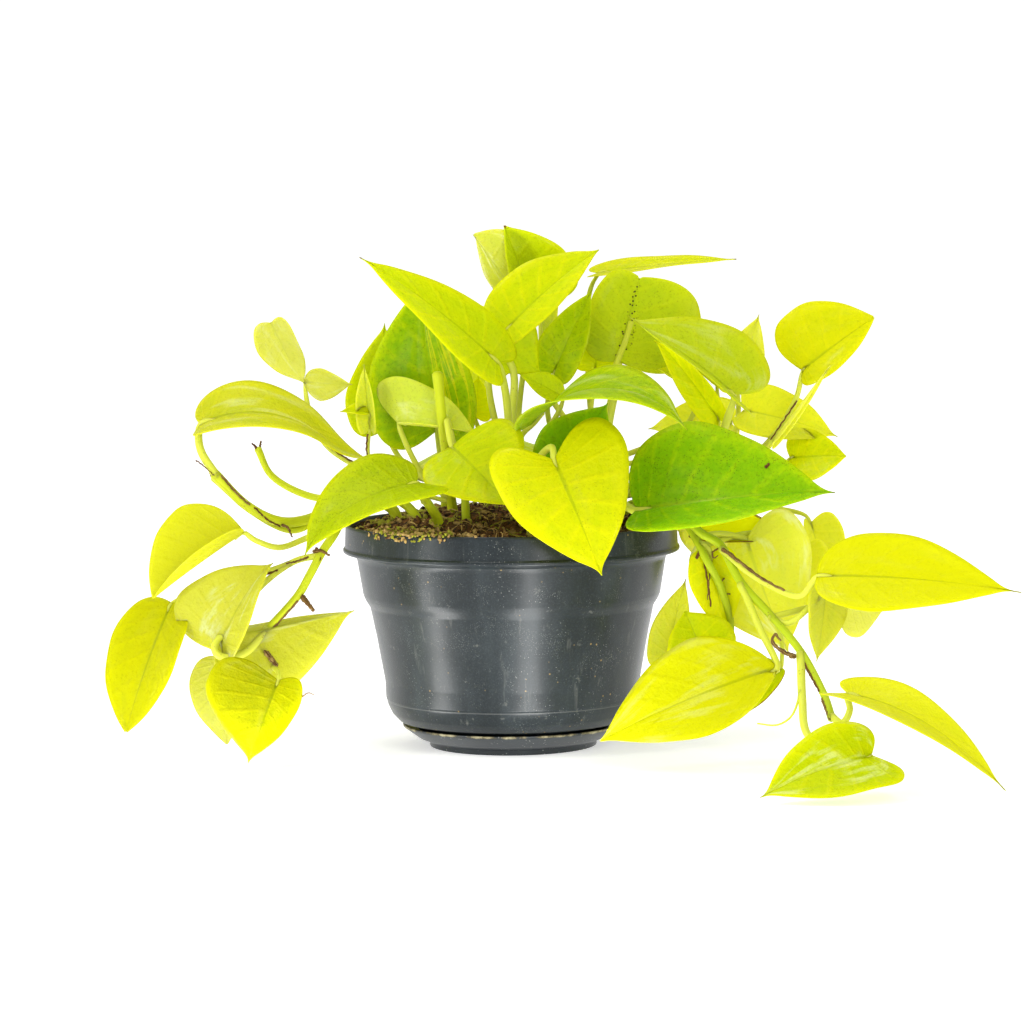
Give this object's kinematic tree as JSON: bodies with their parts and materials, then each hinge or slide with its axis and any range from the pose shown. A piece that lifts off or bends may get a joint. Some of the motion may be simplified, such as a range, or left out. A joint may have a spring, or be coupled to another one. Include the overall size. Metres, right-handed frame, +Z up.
{
  "type": "potted pothos plant",
  "caption": "Golden pothos in a dark plastic hanging pot with a clip-on saucer, its heart-shaped leaves rising in a crown and trailing over both sides.",
  "frame": {"origin": "centre of the saucer's flat underside, on the surface that the pot stands on", "axes": "+Z up along the pot's axis, +Y towards the back of the plant, -Y towards its front, +X to the right seen from the front"},
  "size_m": [0.3971, 0.3511, 0.235],
  "materials": {
    "saucer_plastic": "dark grey moulded plastic with a chalky line on the rim",
    "pot_plastic": "slate grey moulded plastic, half gloss, dusty",
    "soil": "damp fibrous potting soil with patches of moss",
    "foliage": "waxy yellow-green leaves and stems"
  },
  "bodies": {
    "root": {"saucer": "saucer_plastic", "pot": "pot_plastic", "soil": "soil", "vine_front_left": "foliage", "vine_left_middle": "foliage", "vine_left_low": "foliage", "vine_crown_left": "foliage", "vine_front_centre": "foliage", "vine_front_right": "foliage", "vine_crown_right": "foliage", "vine_right_upper": "foliage", "vine_left_arch": "foliage", "vine_left_trail": "foliage", "vine_right_trail": "foliage", "vine_right_rear": "foliage", "vine_back_left": "foliage", "vine_back_right": "foliage", "vine_back_trail": "foliage", "vine_back_side": "foliage"}
  },
  "joints": []
}
